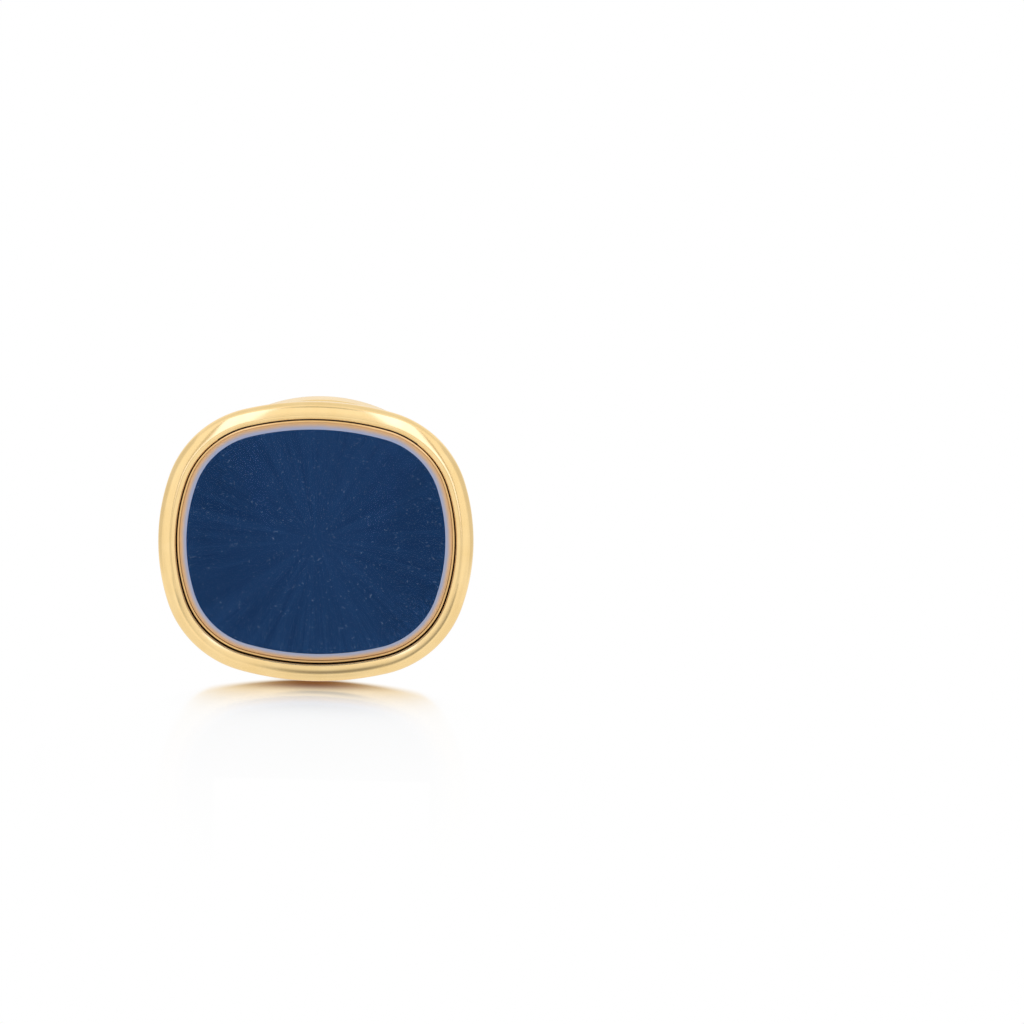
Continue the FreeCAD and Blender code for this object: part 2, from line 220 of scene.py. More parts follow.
class Plan:
    """Every size in millimetres, and the places of the pieces worked out from them."""

    def __init__(self, scene):
        for group in (scene.cufflink_head, scene.cufflink_post, scene.cufflink_oval):
            for name in type(group).__annotations__:
                is_length = group.bl_rna.properties[name].unit == "LENGTH"
                setattr(self, name, getattr(group, name) / MM if is_length else getattr(group, name))
        self.face = self.outline("face")
        self.oval = self.outline("oval")
        self.set_head()
        self.set_hinge()

    def outline(self, start):
        """The outline whose sizes start with that word."""
        sizes = ("width", "height", "corner_radius", "side_turn", "top_turn")
        return Outline(*(getattr(self, f"{start}_{size}") for size in sizes))

    def set_head(self):
        """Insets from the head's outline, and depths from the front of the bead backward."""
        self.flank_start = self.bead_radius * (1 + math.tan(self.flank_turn / 2))
        self.flank_end = self.bead_width - self.lip_width
        self.flank_depth = (self.flank_end - self.flank_start) * math.tan(self.flank_turn)
        self.lip_depth = self.flank_depth + self.lip_width * math.tan(self.lip_turn)
        self.rim_outer_inset = self.bead_width + self.groove_width
        self.rim_inner_inset = self.rim_outer_inset + self.rim_width
        self.ledge_inset = self.rim_inner_inset + self.ledge_width
        self.crystal_inset = self.rim_inner_inset + self.fit_clearance
        self.held_inset = self.frame_wall_inset + self.fit_clearance
        self.crystal_front = self.rim_depth - self.crystal_rise
        self.crystal_back = self.crystal_front + self.crystal_thickness
        self.dial_front = self.crystal_back + self.ledge_thickness
        self.dial_back = self.dial_front + self.dial_thickness
        self.shoulder_depth = self.dial_back - self.flange_thickness
        self.frame_back = self.dial_back + self.frame_skirt
        corner_reach = math.hypot(self.face.corner_x, self.face.corner_z) + self.face_corner_radius
        reach = corner_reach - self.held_inset
        edge_back = self.dial_back + self.back_edge_thickness
        self.dome_middle = edge_back - math.sqrt(self.back_dome_radius**2 - reach**2)
        self.pad_depth = self.dome_middle + self.back_dome_radius + self.pad_height

    def set_hinge(self):
        """Depths of the hinge and of the oval back, and the places of the lugs and rivets."""
        self.hinge_depth = self.pad_depth + self.post_reach
        self.oval_front = self.hinge_depth + self.neck_radius + self.fold_clearance
        self.plate_back = self.oval_front + self.plate_thickness
        self.oval_back = self.oval_front + self.oval_depth
        self.cam_half = self.plate_back - self.hinge_depth - self.spring_clearance
        self.lug_inner = self.neck_radius + self.side_clearance
        self.lug_outer = self.lug_inner + self.lug_thickness
        self.rivet_place = self.spring_length / 2 - self.rivet_edge
        cam_reach = math.sqrt(2) * (self.cam_half - self.cam_corner_radius) + self.cam_corner_radius
        past_plate = self.oval_front - self.hinge_depth
        self.window_half = math.sqrt(cam_reach**2 - past_plate**2) + self.window_clearance

    def into_frame(self):
        """The move from the pieces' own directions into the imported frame, by the hinge's place and axis."""
        hinge = frame["joints"][0]
        upward = Vector(hinge["axis"]).normalized()
        across = Vector((1.0, 0.0, 0.0))
        backward = upward.cross(across)
        turned = Matrix((across, backward, upward)).transposed().to_4x4()
        start = Vector(hinge["pos_m"]) - backward * self.hinge_depth * MM
        return Matrix.Translation(start) @ turned


class Outline:
    """A soft rectangle of eight tangent arcs, with stations set evenly by how far the edge has turned."""

    def __init__(self, width, height, corner_radius, side_turn, top_turn):
        self.corner_radius = corner_radius
        self.side_end = side_turn
        self.top_start = math.pi / 2 - top_turn
        self.find_radii(width / 2, height / 2)
        self.side_middle = width / 2 - self.side_radius
        self.top_middle = height / 2 - self.top_radius
        inner_radius = self.side_radius - corner_radius
        self.corner_x = self.side_middle + inner_radius * math.cos(self.side_end)
        self.corner_z = inner_radius * math.sin(self.side_end)

    def find_radii(self, half_width, half_height):
        """The three arcs of a quarter, end to end, have to add up to half the width and half the height."""
        side_x = 1 - math.cos(self.side_end)
        side_z = math.sin(self.side_end)
        top_x = math.cos(self.top_start)
        top_z = 1 - math.sin(self.top_start)
        left_x = half_width - self.corner_radius * (1 - side_x - top_x)
        left_z = half_height - self.corner_radius * (1 - side_z - top_z)
        divisor = side_x * top_z - side_z * top_x
        self.side_radius = (left_x * top_z - left_z * top_x) / divisor
        self.top_radius = (left_z * side_x - left_x * side_z) / divisor

    def spot(self, heading, inset):
        """The point whose edge faces heading, drawn in by inset."""
        across, up = math.cos(heading), math.sin(heading)
        lean = math.atan2(abs(up), abs(across))
        if lean <= self.side_end:
            middle, radius = (self.side_middle, 0.0), self.side_radius
        elif lean >= self.top_start:
            middle, radius = (0.0, self.top_middle), self.top_radius
        else:
            middle, radius = (self.corner_x, self.corner_z), self.corner_radius
        x = middle[0] + (radius - inset) * math.cos(lean)
        z = middle[1] + (radius - inset) * math.sin(lean)
        return math.copysign(x, across), math.copysign(z, up)

    def loop(self, inset, depth):
        """Points all the way round, drawn in by inset."""
        spots = [self.spot(heading, inset) for heading in headings(STATIONS)]
        return [Vector((x, depth, z)) for x, z in spots]

    def sweep(self, name, section, closed):
        """A mesh over a section's points (inset, depth), carried round the outline."""
        return skin(name, [self.loop(*spot) for spot in section], closed)


def headings(count):
    """Angles set evenly round a whole turn."""
    return [2 * math.pi * station / count for station in range(count)]


def circle(radius, depth, count=ROUND_STATIONS):
    """A loop round the post's axis."""
    return [Vector((radius * math.cos(a), depth, radius * math.sin(a))) for a in headings(count)]


def upright_circle(radius, height, depth):
    """A loop round the hinge's axis."""
    around = [(radius * math.cos(a), radius * math.sin(a)) for a in headings(ROUND_STATIONS)]
    return [Vector((x, depth + y, height)) for x, y in around]


def rounded(corners, closed=True):
    """Points through corners (u, v, radius), each turned with its radius."""
    points = []
    last = len(corners) - 1
    for index, (u, v, radius) in enumerate(corners):
        here = Vector((u, v))
        if radius == 0 or (not closed and index in (0, last)):
            points.append(here)
            continue
        to_before = (Vector(corners[index - 1][:2]) - here).normalized()
        to_after = (Vector(corners[(index + 1) % len(corners)][:2]) - here).normalized()
        half_angle = to_before.angle(to_after) / 2
        middle = here + (to_before + to_after).normalized() * (radius / math.sin(half_angle))
        start = here + to_before * (radius / math.tan(half_angle)) - middle
        end = here + to_after * (radius / math.tan(half_angle)) - middle
        first = math.atan2(start.y, start.x)
        sweep = (math.atan2(end.y, end.x) - first + math.pi) % (2 * math.pi) - math.pi
        steps = max(2, math.ceil(abs(sweep) / ARC_STEP))
        for step in range(steps + 1):
            angle = first + sweep * step / steps
            points.append(middle + Vector((math.cos(angle), math.sin(angle))) * radius)
    return [p for i, p in enumerate(points) if i == 0 or (p - points[i - 1]).length > TINY]


def skin(name, loops, closed):
    """A mesh over loops of points: joined end to end if closed, or else capped at both ends."""
    count = len(loops[0])
    points = [point for loop in loops for point in loop]
    faces = []
    for band in range(len(loops) if closed else len(loops) - 1):
        near = band * count
        far = (band + 1) % len(loops) * count
        for i in range(count):
            j = (i + 1) % count
            faces.append((near + i, near + j, far + j, far + i))
    if not closed:
        faces.append(tuple(range(count)))
        faces.append(tuple(range(len(points) - count, len(points))))
    mesh = bpy.data.meshes.new(name)
    mesh.from_pydata(points, [], faces)
    outward(mesh)
    return mesh


def prism(name, profile, heights):
    """An upright block of that profile between two heights."""
    return skin(name, [[Vector((spot.x, spot.y, z)) for spot in profile] for z in heights], closed=False)


def hinge_bore(plan, radius, half):
    """A round cutter along the hinge's axis, reaching half its length each way."""
    return skin("bore", [upright_circle(radius, z, plan.hinge_depth) for z in (-half, half)], closed=False)


def outward(mesh):
    """Turns every face to look out of the piece."""
    work = bmesh.new()
    work.from_mesh(mesh)
    bmesh.ops.recalc_face_normals(work, faces=work.faces)
    work.to_mesh(mesh)
    work.free()


def block(name, low, high):
    """A box-shaped cutter between two corners."""
    work = bmesh.new()
    bmesh.ops.create_cube(work, size=1.0)
    size = Vector(high) - Vector(low)
    middle = (Vector(high) + Vector(low)) / 2
    bmesh.ops.scale(work, vec=size, verts=work.verts)
    bmesh.ops.translate(work, vec=middle, verts=work.verts)
    mesh = bpy.data.meshes.new(name)
    work.to_mesh(mesh)
    work.free()
    return mesh


def with_modifier(mesh, kind, **settings):
    """A copy of the mesh with one modifier worked in."""
    holder = bpy.data.objects.new(mesh.name + "_work", mesh)
    bpy.context.scene.collection.objects.link(holder)
    modifier = holder.modifiers.new(kind, kind)
    for name, value in settings.items():
        setattr(modifier, name, value)
    bpy.context.view_layer.update()
    made = bpy.data.meshes.new_from_object(holder.evaluated_get(bpy.context.evaluated_depsgraph_get()))
    made.name = mesh.name
    bpy.data.objects.remove(holder)
    return made


def combine(mesh, other, operation):
    """Joins, or cuts away, another mesh."""
    tool = bpy.data.objects.new("tool", other)
    bpy.context.scene.collection.objects.link(tool)
    made = with_modifier(mesh, "BOOLEAN", object=tool, operation=operation, solver="EXACT")
    bpy.data.objects.remove(tool)
    if not made.polygons:
        raise RuntimeError(f"{operation} left nothing of {mesh.name}")
    return made


def softened(mesh, width):
    """Rounds the mesh's sharp edges."""
    settings = {"segments": EDGE_SEGMENTS, "limit_method": "ANGLE", "angle_limit": SHARP_ANGLE}
    return with_modifier(mesh, "BEVEL", width=width, **settings)


def paint(faces, index):
    """Gives faces the piece's material of that index."""
    for face in faces:
        face.material_index = index


def place_piece(plan, name, mesh, finishes, body, node):
    """Sets a finished mesh into the frame, smooth with crisp edges, as the piece that stands for a node."""
    mesh.transform(Matrix.Scale(MM, 4))
    mesh.name = name
    for make in finishes:
        mesh.materials.append(kept(make))
    mesh.shade_smooth()
    mesh.set_sharp_from_angle(angle=SHARP_ANGLE)
    piece = bpy.data.objects.new(name, mesh)
    bpy.context.scene.collection.objects.link(piece)
    piece.matrix_world = plan.into_frame()
    normals = piece.modifiers.new("even shading", "WEIGHTED_NORMAL")
    normals.keep_sharp = True
    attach(piece, body)
    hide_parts(node)


# Materials


class Nodes:
    """A node tree, filled a node at a time."""

    def __init__(self, tree):
        self.tree = tree

    def feed(self, node, inputs):
        """Sets a node's sockets, from the outputs of other nodes or to plain values."""
        for name, value in inputs.items():
            socket = node.inputs[name]
            if isinstance(value, bpy.types.NodeSocket):
                self.tree.links.new(value, socket)
            else:
                socket.default_value = value

    def add(self, kind, inputs=None, **settings):
        node = self.tree.nodes.new(kind)
        for name, value in settings.items():
            setattr(node, name, value)
        self.feed(node, inputs or {})
        return node

    def math(self, operation, first, second=0.0):
        return self.add("ShaderNodeMath", {0: first, 1: second}, operation=operation).outputs[0]

    def plus(self, first, second):
        return self.math("ADD", first, second)

    def minus(self, first, second):
        return self.math("SUBTRACT", first, second)

    def times(self, first, second):
        return self.math("MULTIPLY", first, second)

    def over(self, first, second):
        return self.math("DIVIDE", first, second)

    def larger(self, first, second):
        return self.math("MAXIMUM", first, second)

    def absolute(self, value):
        return self.math("ABSOLUTE", value)

    def vector(self, operation, first, second=(0.0, 0.0, 0.0)):
        made = self.add("ShaderNodeVectorMath", {0: first, 1: second}, operation=operation)
        return made.outputs["Value" if operation == "LENGTH" else "Vector"]

    def axes(self, vector):
        return self.add("ShaderNodeSeparateXYZ", {"Vector": vector}).outputs

    def joined(self, **axes):
        return self.add("ShaderNodeCombineXYZ", axes).outputs[0]

    def distance(self, x, y):
        return self.vector("LENGTH", self.joined(X=x, Y=y))

    def bell(self, distance, reach):
        """1 at no distance, falling off smoothly past reach."""
        share = self.math("POWER", self.over(distance, reach), 2.0)
        return self.math("EXPONENT", self.times(share, -1.0))

    def stretch(self, value, low, high, new_low=0.0, new_high=1.0, kind="LINEAR"):
        """The value carried from one range to another, and held at its ends."""
        inputs = {"Value": value, "From Min": low, "From Max": high, "To Min": new_low, "To Max": new_high}
        return self.add("ShaderNodeMapRange", inputs, interpolation_type=kind).outputs["Result"]

    def soft_step(self, value, low, high, new_low=0.0, new_high=1.0):
        """The same with soft ends."""
        return self.stretch(value, low, high, new_low, new_high, "SMOOTHSTEP")

    def mix(self, share, first, second):
        return self.add("ShaderNodeMix", {0: share, 6: first, 7: second}, data_type="RGBA").outputs[2]

    def noise(self, vector, scale, detail=2.0, roughness=0.5):
        inputs = {"Vector": vector, "Scale": scale, "Detail": detail, "Roughness": roughness}
        return self.add("ShaderNodeTexNoise", inputs).outputs["Fac"]

    def place(self):
        return self.add("ShaderNodeTexCoord").outputs["Object"]

    def show(self, shader):
        """Makes that shader the surface."""
        self.feed(self.tree.nodes["Material Output"], {"Surface": shader.outputs[0]})

    def show_mix(self, share, first, second):
        """Makes a mix of two shaders the surface."""
        self.show(self.add("ShaderNodeMixShader", {0: share, 1: first.outputs[0], 2: second.outputs[0]}))


def opaque(rgb, share=1.0):
    """A node's colour from a setting's, or from a darker share of it."""
    return (rgb[0] * share, rgb[1] * share, rgb[2] * share, 1.0)


def new_material(name):
    """A material with a plain Principled shader, as (material, nodes, shader)."""
    material = bpy.data.materials.new(name)
    material.use_nodes = True
    return material, Nodes(material.node_tree), material.node_tree.nodes["Principled BSDF"]


def shared_group(name, inputs, outputs, fill):
    """A shader node group, built once and kept under its name."""
    group = bpy.data.node_groups.get(name)
    if group is None:
        group = bpy.data.node_groups.new(name, "ShaderNodeTree")
        for in_out, sockets in (("INPUT", inputs), ("OUTPUT", outputs)):
            for socket in sockets:
                group.interface.new_socket(socket, in_out=in_out, socket_type="NodeSocketFloat")
        nodes = Nodes(group)
        fill(nodes, nodes.add("NodeGroupInput").outputs, nodes.add("NodeGroupOutput"))
    return group


HAIRLINE_STRETCH = {"Scale": (1.0, 0.06, 0.35), "Rotation": (0.3, 0.5, 0.9)}
PATCH_RANGE = (0.35, 0.65)  # of the noise, from polished to dulled
HAIRLINE_RANGE = (0.50, 0.72)  # of the noise, from none to a whole hairline
PATCH_SHARE = 0.65  # of the patches in the roughness; the hairlines have the rest
HAIRLINE_DEPTH = 0.00001


def fill_handling(nodes, given, result):
    """Soft smudges and fine hairlines, as a roughness, a mask of dulled patches and a height."""
    spot = nodes.place()
    patches = nodes.noise(spot, given["Patch Scale"], detail=4.0, roughness=0.6)
    dulled = nodes.stretch(patches, *PATCH_RANGE)
    drawn_out = nodes.add("ShaderNodeMapping", {"Vector": spot, **HAIRLINE_STRETCH}).outputs[0]
    hairs = nodes.noise(drawn_out, given["Hairline Scale"], detail=3.0, roughness=0.7)
    lines = nodes.stretch(hairs, *HAIRLINE_RANGE)
    share = nodes.plus(nodes.times(dulled, PATCH_SHARE), nodes.times(lines, 1.0 - PATCH_SHARE))
    span = nodes.minus(given["Rough"], given["Smooth"])
    rough = nodes.plus(given["Smooth"], nodes.times(span, share))
    nodes.feed(result, {"Roughness": rough, "Dulled": dulled, "Height": hairs})


def use_handling(nodes, shader, smooth, rough, patch_scale, hairline_scale, bump):
    """Feeds a shader's roughness and normal from the shared wear, and gives back its dulled patches."""
    wear = {"Smooth": smooth, "Rough": rough, "Patch Scale": patch_scale, "Hairline Scale": hairline_scale}
    group = shared_group("handling wear", wear, ("Roughness", "Dulled", "Height"), fill_handling)
    worn = nodes.add("ShaderNodeGroup", wear, node_tree=group).outputs
    height = {"Height": worn["Height"], "Strength": bump, "Distance": HAIRLINE_DEPTH}
    normal = nodes.add("ShaderNodeBump", height).outputs["Normal"]
    nodes.feed(shader, {"Roughness": worn["Roughness"], "Normal": normal})
    return worn["Dulled"]


def worn_metal(name, tone, dulled_tone, metallic=1.0, **wear):
    """A metal that changes its tone where the polish is dulled."""
    material, nodes, shader = new_material(name)
    dulled = use_handling(nodes, shader, **wear)
    nodes.feed(shader, {"Base Color": nodes.mix(dulled, tone, dulled_tone), "Metallic": metallic})
    return material


def polished_gold():
    finish = bpy.context.scene.cufflink_finish
    gloss = {"smooth": finish.gold_smooth, "rough": finish.gold_rough}
    return worn_metal(
        "polished_gold", opaque(finish.gold), opaque(finish.gold_deep),
        patch_scale=420.0, hairline_scale=9000.0, bump=0.05, **gloss,
    )


def satin_gold():
    """The duller gold of the ring round the crystal."""
    rim = bpy.context.scene.cufflink_finish.rim
    return worn_metal(
        "satin_gold", opaque(rim), opaque(rim, 0.9),
        smooth=0.30, rough=0.42, patch_scale=420.0, hairline_scale=9000.0, bump=0.05,
    )


def groove_gold():
    """Painted shade: the dark walls of the groove, where shade falls in the narrow gap."""
    groove = bpy.context.scene.cufflink_finish.groove
    return worn_metal(
        "groove_gold", opaque(groove), opaque(groove, 0.5), metallic=0.6,
        smooth=0.45, rough=0.7, patch_scale=900.0, hairline_scale=9000.0, bump=0.1,
    )


def plated_pin():
    """Gold plate over turned steel, a little less polished than the rest."""
    finish = bpy.context.scene.cufflink_finish
    return worn_metal(
        "plated_pin", opaque(finish.gold_deep), opaque(finish.gold),
        smooth=0.18, rough=0.3, patch_scale=900.0, hairline_scale=12000.0, bump=0.15,
    )


def rolled_steel():
    """Spring steel with fine hairlines."""
    steel = bpy.context.scene.cufflink_finish.steel
    return worn_metal(
        "rolled_steel", opaque(steel), opaque(steel, 0.8),
        smooth=0.25, rough=0.42, patch_scale=700.0, hairline_scale=14000.0, bump=0.2,
    )


def clear_crystal():
    material, nodes, shader = new_material("clear_crystal")
    use_handling(nodes, shader, smooth=0.0, rough=0.02, patch_scale=300.0, hairline_scale=4000.0, bump=0.0)
    nodes.feed(shader, {
        "Base Color": (0.99, 0.99, 1.0, 1.0),
        "Transmission Weight": 1.0,
        "IOR": 1.5,
        "Specular Tint": (0.03, 0.04, 0.08, 1.0),
    })
    return material


BEVEL_UNEVENNESS = 0.12
BEVEL_CHANGE = (0.1, 0.9)  # shares of the bevel's width between which its colour changes


def ground_bevel():
    """Ground glass with painted reflections: gold at its outside for the gold behind it, blue at its inside
    for the dial, and clear seen from within.
    """
    finish = bpy.context.scene.cufflink_finish
    material, nodes, shader = new_material("ground_bevel")
    wear = {"smooth": 0.3, "rough": 0.42, "patch_scale": 900.0, "hairline_scale": 15000.0, "bump": 0.05}
    dulled = use_handling(nodes, shader, **wear)
    inward = nodes.add("ShaderNodeAttribute", attribute_name=BEVEL_SHARE).outputs["Fac"]
    uneven = nodes.times(nodes.minus(dulled, 0.5), BEVEL_UNEVENNESS)
    share = nodes.soft_step(nodes.plus(inward, uneven), *BEVEL_CHANGE)
    within = nodes.add("ShaderNodeNewGeometry").outputs["Backfacing"]
    # The painted reflection turns from gold at the bevel's outside to blue at its inside.
    nodes.feed(shader, {
        "Base Color": nodes.mix(share, opaque(finish.bevel_outer), opaque(finish.bevel_inner)),
        "Alpha": nodes.minus(1.0, within),
        "Transmission Weight": 0.1,
        "IOR": 1.3,
    })
    return material


RAY_DRIFT = 2.5  # how fast the rays change on their way out
BROAD_SHARE = 0.30  # of the broad rays; the fine ones have the rest
RAY_RANGE = (0.37, 0.63)  # of the noise, from the dark tone to the light one
RAY_ROUGHNESS = (0.3, 0.7, 0.34, 0.46)  # of the noise, and the roughness that it gives
RAY_DEPTH = 0.00002
# Painted sheen: the dial is painted darker towards its left and right sides, where its brushed rays show less
# light.
SIDE_PAINTED_SHEEN = (0.001, 0.006, 0.0, 0.10)  # metres from the middle, and how much darker it gets to both sides
SPECKS = (0.68, 0.75, 0.0, 0.6)  # of the noise, and how much of a speck it shows


def sunburst_dial():
    """Fine brushed rays from the middle of the dial, with fine light specks, and a painted sheen that makes
    it darker to the left and right.
    """
    finish = bpy.context.scene.cufflink_finish
    material, nodes, shader = new_material("sunburst_dial")
    spot = nodes.place()
    axes = nodes.axes(spot)
    flat = nodes.joined(X=axes["X"], Y=axes["Z"])
    heading = nodes.vector("NORMALIZE", flat)
    reach = nodes.vector("LENGTH", flat)
    ray = nodes.vector("ADD", heading, nodes.joined(Z=nodes.times(reach, RAY_DRIFT)))
    broad = nodes.noise(ray, scale=7.0, detail=2.0, roughness=0.6)
    fine = nodes.noise(ray, scale=110.0, detail=3.0, roughness=0.75)
    rays = nodes.plus(nodes.times(broad, BROAD_SHARE), nodes.times(fine, 1.0 - BROAD_SHARE))
    # Painted sheen: darker to both sides, growing with the distance from the middle.
    across = nodes.axes(heading)["X"]
    sideways = nodes.times(across, across)
    rays = nodes.minus(rays, nodes.times(sideways, nodes.soft_step(reach, *SIDE_PAINTED_SHEEN)))
    tone = nodes.mix(nodes.stretch(rays, *RAY_RANGE), opaque(finish.dial_dark), opaque(finish.dial_light))
    specks = nodes.stretch(nodes.noise(spot, scale=8000.0, detail=1.0), *SPECKS)
    bump = nodes.add("ShaderNodeBump", {"Height": fine, "Strength": 0.05, "Distance": RAY_DEPTH})
    round_about = nodes.add("ShaderNodeTangent", direction_type="RADIAL", axis="Y")
    nodes.feed(shader, {
        "Base Color": nodes.mix(specks, tone, opaque(finish.dial_speck)),
        "Roughness": nodes.stretch(fine, *RAY_ROUGHNESS),
        "Normal": bump.outputs["Normal"],
        "Tangent": round_about.outputs["Tangent"],
        "Metallic": 0.6,
        "Specular IOR Level": 0.02,
        "Anisotropic": 0.75,
    })
    return material


def kept(make):
    """The material of that maker, made once."""
    return bpy.data.materials.get(make.__name__) or make()


# Pieces of the head


class CUFFLINK_OT_outer_frame(bpy.types.Operator):
    """Make the gold frame with its round bead"""

    bl_idname = "cufflink.outer_frame"
    bl_label = "Outer Frame"
    # Painted shade: above this height, at the top of the face, the lip is painted as dark as the groove.
    shaded_height = 0.36  # share of the face's height above which the lip is as dark as the groove

    def execute(self, context):
        plan = Plan(context.scene)
        taper = plan.frame_taper
        outer_corner = plan.bead_radius - plan.bead_radius * (1 + math.sin(taper)) / math.cos(taper)
        back_corner = outer_corner + plan.frame_back * math.tan(taper)
        section = rounded([
            (plan.bead_width, plan.lip_depth, plan.lip_radius),
            (plan.flank_end, plan.flank_depth, plan.lip_radius),
            (plan.flank_start, 0, plan.bead_radius),
            (outer_corner, 0, plan.bead_radius),
            (back_corner, plan.frame_back, plan.edge_softness),
            (plan.frame_wall_inset, plan.frame_back, plan.edge_softness),
            (plan.frame_wall_inset, plan.shoulder_depth, 0),
            (plan.bead_width, plan.shoulder_depth, 0),
            (plan.bead_width, plan.rim_depth, 0),
        ])
        mesh = plan.face.sweep("outer_frame", section, closed=True)
        finishes = [polished_gold, groove_gold, satin_gold]
        # Painted shade on the deeper groove wall; the wall above it takes the satin rim gold.
        paint(mesh.polygons[-2 * STATIONS:-STATIONS], finishes.index(groove_gold))
        paint(mesh.polygons[-STATIONS:], finishes.index(satin_gold))
        # The lip's faces on the upper part of the face also get the groove's painted shade.
        lip_end = next(i for i, spot in enumerate(section) if spot.y < plan.flank_depth)
        shaded = self.shaded_height * plan.face_height
        lip = [face for face in mesh.polygons[:lip_end * STATIONS] if face.center.z > shaded]
        paint(lip, finishes.index(groove_gold))
        place_piece(plan, "beaded_frame", mesh, finishes, "head", "outer_frame")
        return {"FINISHED"}


class CUFFLINK_OT_crystal_setting(bpy.types.Operator):
    """Make the thin gold ring that holds the crystal"""

    bl_idname = "cufflink.crystal_setting"
    bl_label = "Crystal Setting"

    def execute(self, context):
        plan = Plan(context.scene)
        soft = plan.rim_width / 4
        section = rounded([
            (plan.rim_inner_inset, plan.rim_depth, soft),
            (plan.rim_outer_inset, plan.rim_depth, soft),
            (plan.rim_outer_inset, plan.shoulder_depth, 0),
            (plan.held_inset, plan.shoulder_depth, 0),
            (plan.held_inset, plan.dial_back, 0),
            (plan.rim_inner_inset, plan.dial_back, 0),
            (plan.rim_inner_inset, plan.dial_front, 0),
            (plan.ledge_inset, plan.dial_front, 0),
            (plan.ledge_inset, plan.crystal_back, 0),
            (plan.rim_inner_inset, plan.crystal_back, 0),
        ])
        mesh = plan.face.sweep("crystal_setting", section, closed=True)
        finishes = [satin_gold, groove_gold]
        # Painted shade on the rim's outer wall and on the shoulder beside it, down in the groove.
        rim_wall = next(i for i, spot in enumerate(section) if spot.y > plan.shoulder_depth - TINY) - 1
        groove = mesh.polygons[rim_wall * STATIONS:(rim_wall + 2) * STATIONS]
        paint(groove, finishes.index(groove_gold))
        place_piece(plan, "setting_ring", mesh, finishes, "head", "crystal_setting")
        return {"FINISHED"}


class CUFFLINK_OT_crystal(bpy.types.Operator):
    """Make the clear crystal with its ground bevel"""

    bl_idname = "cufflink.crystal"
    bl_label = "Crystal"

    def execute(self, context):
        plan = Plan(context.scene)
        levels = [
            (plan.crystal_inset + plan.bevel_width, plan.crystal_front),
            (plan.crystal_inset, plan.crystal_front + plan.bevel_drop),
            (plan.crystal_inset, plan.crystal_back),
        ]
        mesh = plan.face.sweep("crystal", levels, closed=False)
        finishes = [clear_crystal, ground_bevel]
        paint(mesh.polygons[:2 * STATIONS], finishes.index(ground_bevel))
        share = mesh.attributes.new(BEVEL_SHARE, "FLOAT", "POINT")
        for station in range(STATIONS):
            share.data[station].value = 1.0
        place_piece(plan, "bevelled_crystal", mesh, finishes, "head", "crystal")
        return {"FINISHED"}


class CUFFLINK_OT_dial(bpy.types.Operator):
    """Make the blue sunburst dial"""

    bl_idname = "cufflink.dial"
    bl_label = "Dial"

    def execute(self, context):
        plan = Plan(context.scene)
        soft = plan.edge_softness
        levels = [
            (plan.crystal_inset + soft, plan.dial_front),
            (plan.crystal_inset, plan.dial_front + soft),
            (plan.crystal_inset, plan.dial_back),
        ]
        mesh = plan.face.sweep("dial", levels, closed=False)
        place_piece(plan, "dial_plate", mesh, [sunburst_dial], "head", "dial")
        return {"FINISHED"}


class CUFFLINK_OT_case_back(bpy.types.Operator):
    """Make the domed case back with its pad"""

    bl_idname = "cufflink.case_back"
    bl_label = "Case Back"
    rings = 24  # loops over the dome

    def execute(self, context):
        plan = Plan(context.scene)
        soft = plan.edge_softness

        def on_dome(point):
            rise = math.sqrt(plan.back_dome_radius**2 - point.x**2 - point.z**2)
            return Vector((point.x, plan.dome_middle + rise, point.z))

        hole = plan.spigot_radius + plan.fit_clearance
        dome_start = plan.pad_radius + soft
        loops = [plan.face.loop(plan.held_inset, plan.dial_back), circle(hole, plan.dial_back, STATIONS)]
        loops.append(circle(hole, plan.pad_depth, STATIONS))
        pad_foot = plan.pad_depth - plan.pad_height + soft
        pad_edge = rounded(
            [
                (hole, plan.pad_depth, 0),
                (plan.pad_radius, plan.pad_depth, soft),
                (plan.pad_radius, pad_foot, 0),
            ],
            closed=False,
        )
        loops += [circle(spot.x, spot.y, STATIONS) for spot in pad_edge[1:]]
        inner = circle(dome_start, 0, STATIONS)
        outer = plan.face.loop(plan.held_inset + soft, 0)
        for ring in range(self.rings + 1):
            share = ring / self.rings
            loops.append([on_dome(a.lerp(b, share)) for a, b in zip(inner, outer)])
        edge = [on_dome(point) for point in plan.face.loop(plan.held_inset, 0)]
        loops.append([point - Vector((0, soft, 0)) for point in edge])
        mesh = skin("case_back", loops, closed=True)
        place_piece(plan, "domed_back", mesh, [polished_gold], "head", "case_back")
        return {"FINISHED"}


class CUFFLINK_OT_post(bpy.types.Operator):
    """Make the post with its foot, neck and square cam"""

    bl_idname = "cufflink.post"
    bl_label = "Post"

    def execute(self, context):
        plan = Plan(context.scene)
        soft = plan.edge_softness
        foot_back = plan.pad_depth + plan.foot_thickness
        taper_back = foot_back + plan.foot_taper_length
        section = rounded(
            [
                (plan.spigot_radius, plan.dial_back, 0),
                (plan.spigot_radius, plan.pad_depth, 0),
                (plan.foot_radius, plan.pad_depth, soft),
                (plan.foot_radius, foot_back, 2 * soft),
                (plan.neck_radius, taper_back, plan.foot_taper_length),
                (plan.neck_radius, plan.hinge_depth - plan.pin_radius - 2 * soft, 0),
            ],
            closed=False,
        )
        stem = skin("stem", [circle(*spot) for spot in section], closed=False)
        half = plan.cam_half
        square = rounded([
            (side * half, plan.hinge_depth + end * half, plan.cam_corner_radius)
            for side, end in ((1, 1), (-1, 1), (-1, -1), (1, -1))
        ])
        cam = softened(prism("cam", square, (-plan.neck_radius, plan.neck_radius)), soft)
        bore = hinge_bore(plan, plan.pin_radius + plan.pin_clearance, half)
        mesh = combine(combine(cam, stem, "UNION"), bore, "DIFFERENCE")
        place_piece(plan, "cam_post", mesh, [polished_gold], "head", "post")
        return {"FINISHED"}


# Pieces of the oval back


